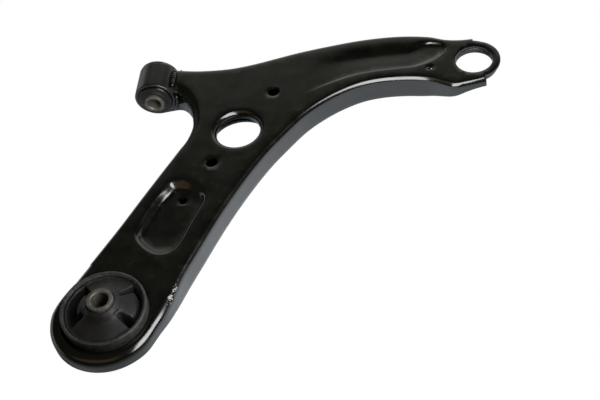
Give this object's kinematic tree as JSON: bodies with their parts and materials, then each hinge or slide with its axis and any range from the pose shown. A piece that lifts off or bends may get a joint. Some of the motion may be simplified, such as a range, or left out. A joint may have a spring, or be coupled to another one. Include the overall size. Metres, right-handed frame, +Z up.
{
  "type": "suspension control arm",
  "caption": "Stamped and welded steel suspension lower control arm with a horizontal front bush, a vertical rear bush and a bored ball joint eye.",
  "frame": {"origin": "bottom centre of the whole arm's bounding box", "axes": "+Y runs forward along the swing axis from the rear bush to the front bush, +X points outboard to the ball joint eye, +Z is up"},
  "size_m": [0.371, 0.3612, 0.058],
  "materials": {
    "shell_coat": "satin black electrocoat over pressed steel",
    "weld_coat": "satin black electrocoat over rippled weld metal",
    "sleeve_coat": "grey phosphated steel under thin coat",
    "bush_rubber": "matt moulded rubber",
    "core_steel": "bare turned steel, lightly tarnished"
  },
  "bodies": {
    "arm": {"upper_shell": "shell_coat", "lower_shell": "shell_coat", "ball_joint_eye_ring": "shell_coat", "front_bush_tube": "shell_coat", "front_bush_can": "shell_coat", "front_bush_rubber": "bush_rubber", "rear_bush_collar": "shell_coat", "rear_bush_sleeve": "sleeve_coat", "rear_bush_rubber": "bush_rubber", "weld_tube_top": "weld_coat", "weld_tube_bottom": "weld_coat", "weld_tube_front": "weld_coat", "weld_tube_back": "weld_coat", "weld_seam_outer": "weld_coat", "weld_seam_left": "weld_coat", "weld_seam_back": "weld_coat", "weld_eye_ring": "weld_coat", "weld_rear_collar": "weld_coat"},
    "rear_core": {"rear_bush_core": "core_steel"},
    "front_core": {"front_bush_core": "core_steel"}
  },
  "joints": [
    {"name": "rear_bush_tilt", "type": "hinge", "parent": "arm", "child": "rear_core", "pos_m": [-0.13846, -0.13213, 0.029], "axis": [0, 1, 0], "range_deg": [-14, 14], "stiffness_Nm_per_rad": 80, "deforming": ["rear_bush_rubber"]},
    {"name": "front_bush_twist", "type": "hinge", "parent": "arm", "child": "front_core", "pos_m": [-0.13846, 0.13337, 0.029], "axis": [0, 1, 0], "range_deg": [-14, 14], "deforming": ["front_bush_rubber"]}
  ],
  "couplings": [
    {"joint": "front_bush_twist", "follows": "rear_bush_tilt", "ratio": 1}
  ]
}
